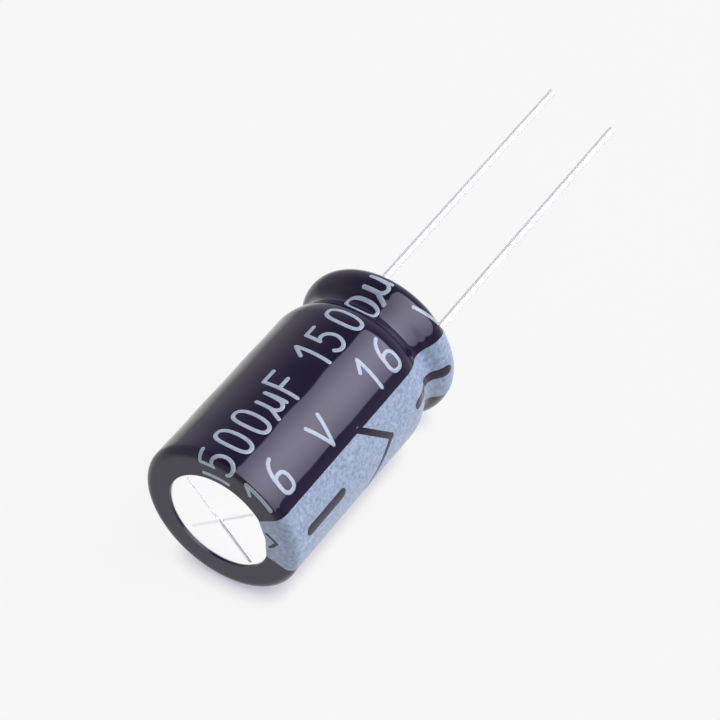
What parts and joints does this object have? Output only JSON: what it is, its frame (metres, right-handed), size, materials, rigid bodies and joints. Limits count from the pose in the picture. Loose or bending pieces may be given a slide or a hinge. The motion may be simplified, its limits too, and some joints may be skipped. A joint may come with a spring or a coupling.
{
  "type": "electrolytic capacitor",
  "caption": "Radial aluminium electrolytic capacitor: sleeved can with a scored vent, rubber bung, wound foil element and leads for a circuit board.",
  "frame": {"origin": "middle of the seating plane, between the two leads", "axes": "+Z along the can from the leads to the vent end; the negative lead is at -X and the positive lead at +X"},
  "size_m": [0.0102, 0.0102, 0.0412],
  "materials": {
    "sleeve": "glossy shrunk PVC tube, nearly black with a violet cast",
    "stripe": "pale blue grey ink, faintly mottled",
    "can": "bright drawn aluminium, closed end bare with a scored cross",
    "bung": "moulded black rubber, matt",
    "lead_wire": "bright tinned copper-clad steel wire",
    "tab": "soft aluminium, round stem pressed flat into a blade",
    "anode_foil": "etched and formed foil, matt grey",
    "cathode_foil": "etched foil, light grey",
    "paper": "separator paper soaked with electrolyte",
    "tape": "thin brown closing tape"
  },
  "bodies": {
    "root": {"sleeve": "sleeve", "stripe": "stripe", "can": "can", "bung": "bung", "lead_negative": "lead_wire", "lead_positive": "lead_wire", "tab_negative": "tab", "tab_positive": "tab", "anode_foil": "anode_foil", "cathode_foil": "cathode_foil", "inner_paper": "paper", "outer_paper": "paper", "closing_tape": "tape"}
  },
  "joints": []
}
